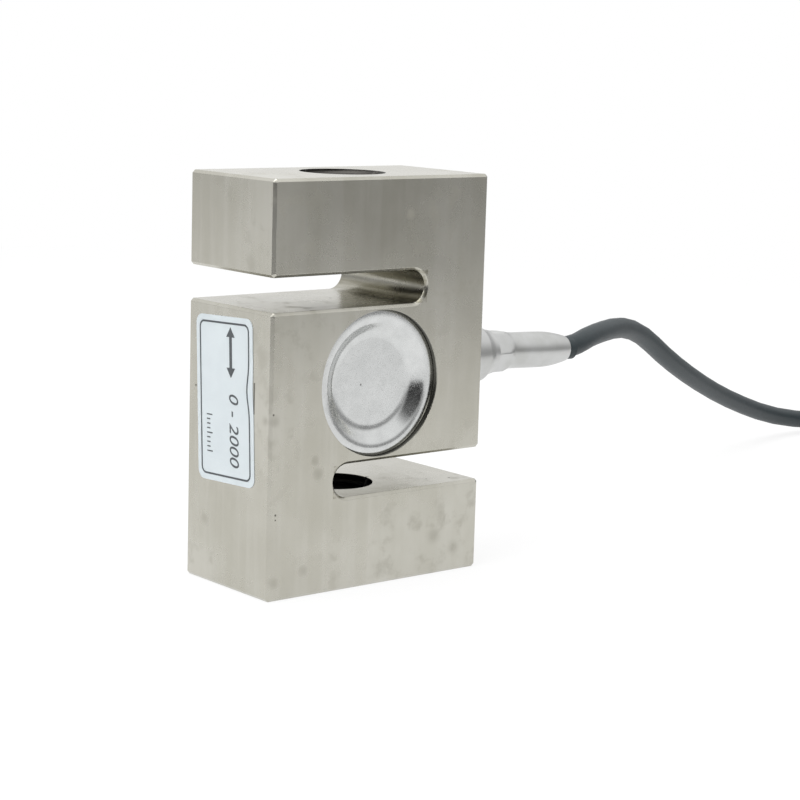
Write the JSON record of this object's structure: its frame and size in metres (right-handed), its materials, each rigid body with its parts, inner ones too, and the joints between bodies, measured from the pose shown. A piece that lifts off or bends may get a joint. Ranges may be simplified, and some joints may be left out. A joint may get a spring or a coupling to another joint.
{
  "type": "s-type load cell",
  "caption": "One-piece S-shaped tension and compression load cell with threaded ends, dished gauge covers and a screened cable leaving through a crimped gland.",
  "frame": {"origin": "where the load axis meets the base face: the mouth of the lower threaded hole", "axes": "+Z along the load axis, +X towards the side the cable leaves, -Y towards the front gauge cover"},
  "size_m": [0.3191, 0.0911, 0.076],
  "materials": {
    "nickel_steel": "nickel plated alloy steel, ground faces, light stains",
    "cover_steel": "pressed stainless sheet, polished",
    "gland_nickel": "nickel plated brass, satin",
    "gasket_rubber": "matt",
    "gauge_backing": "amber polyimide film",
    "gauge_foil": "etched constantan foil",
    "silicone": "clear to milky silicone",
    "circuit_board": "glass epoxy board",
    "solder": "bright tin solder",
    "resistor_body": "glazed",
    "link_enamel": "enamelled copper wire",
    "label_film": "white polyester label, printed in grey",
    "cable_jacket": "dark grey PVC, satin",
    "tie_nylon": "black nylon",
    "shrink_tube": "black heat-shrink",
    "core_red": "PVC insulation",
    "core_black": "PVC insulation",
    "core_green": "PVC insulation",
    "core_white": "PVC insulation",
    "tinned_copper": "tinned copper strand"
  },
  "bodies": {
    "root": {"spring_element": "nickel_steel", "front_cover": "cover_steel", "front_gauge_backing": "gauge_backing", "front_gauge_grid_a": "gauge_foil", "front_gauge_grid_b": "gauge_foil", "front_gauge_coating": "silicone", "front_terminal_strip": "circuit_board", "rear_cover": "cover_steel", "rear_gauge_backing": "gauge_backing", "rear_gauge_grid_a": "gauge_foil", "rear_gauge_grid_b": "gauge_foil", "rear_gauge_coating": "silicone", "rear_terminal_strip": "circuit_board", "solder_red": "solder", "core_red": "core_red", "end_core_red": "core_red", "end_tip_red": "tinned_copper", "solder_black": "solder", "core_black": "core_black", "end_core_black": "core_black", "end_tip_black": "tinned_copper", "solder_green": "solder", "core_green": "core_green", "end_core_green": "core_green", "end_tip_green": "tinned_copper", "solder_white": "solder", "core_white": "core_white", "end_core_white": "core_white", "end_tip_white": "tinned_copper", "rear_solder_a": "solder", "rear_solder_b": "solder", "zero_resistor": "resistor_body", "span_resistor": "resistor_body", "link_wire_a": "link_enamel", "link_wire_b": "link_enamel", "gland_gasket": "gasket_rubber", "gland_body": "gland_nickel", "cable_entry": "cable_jacket", "rating_label": "label_film", "cable_lead": "cable_jacket", "cable_coil": "cable_jacket", "coil_tie_a": "tie_nylon", "coil_tie_b": "tie_nylon", "end_shrink": "shrink_tube", "end_drain": "tinned_copper"}
  },
  "joints": []
}
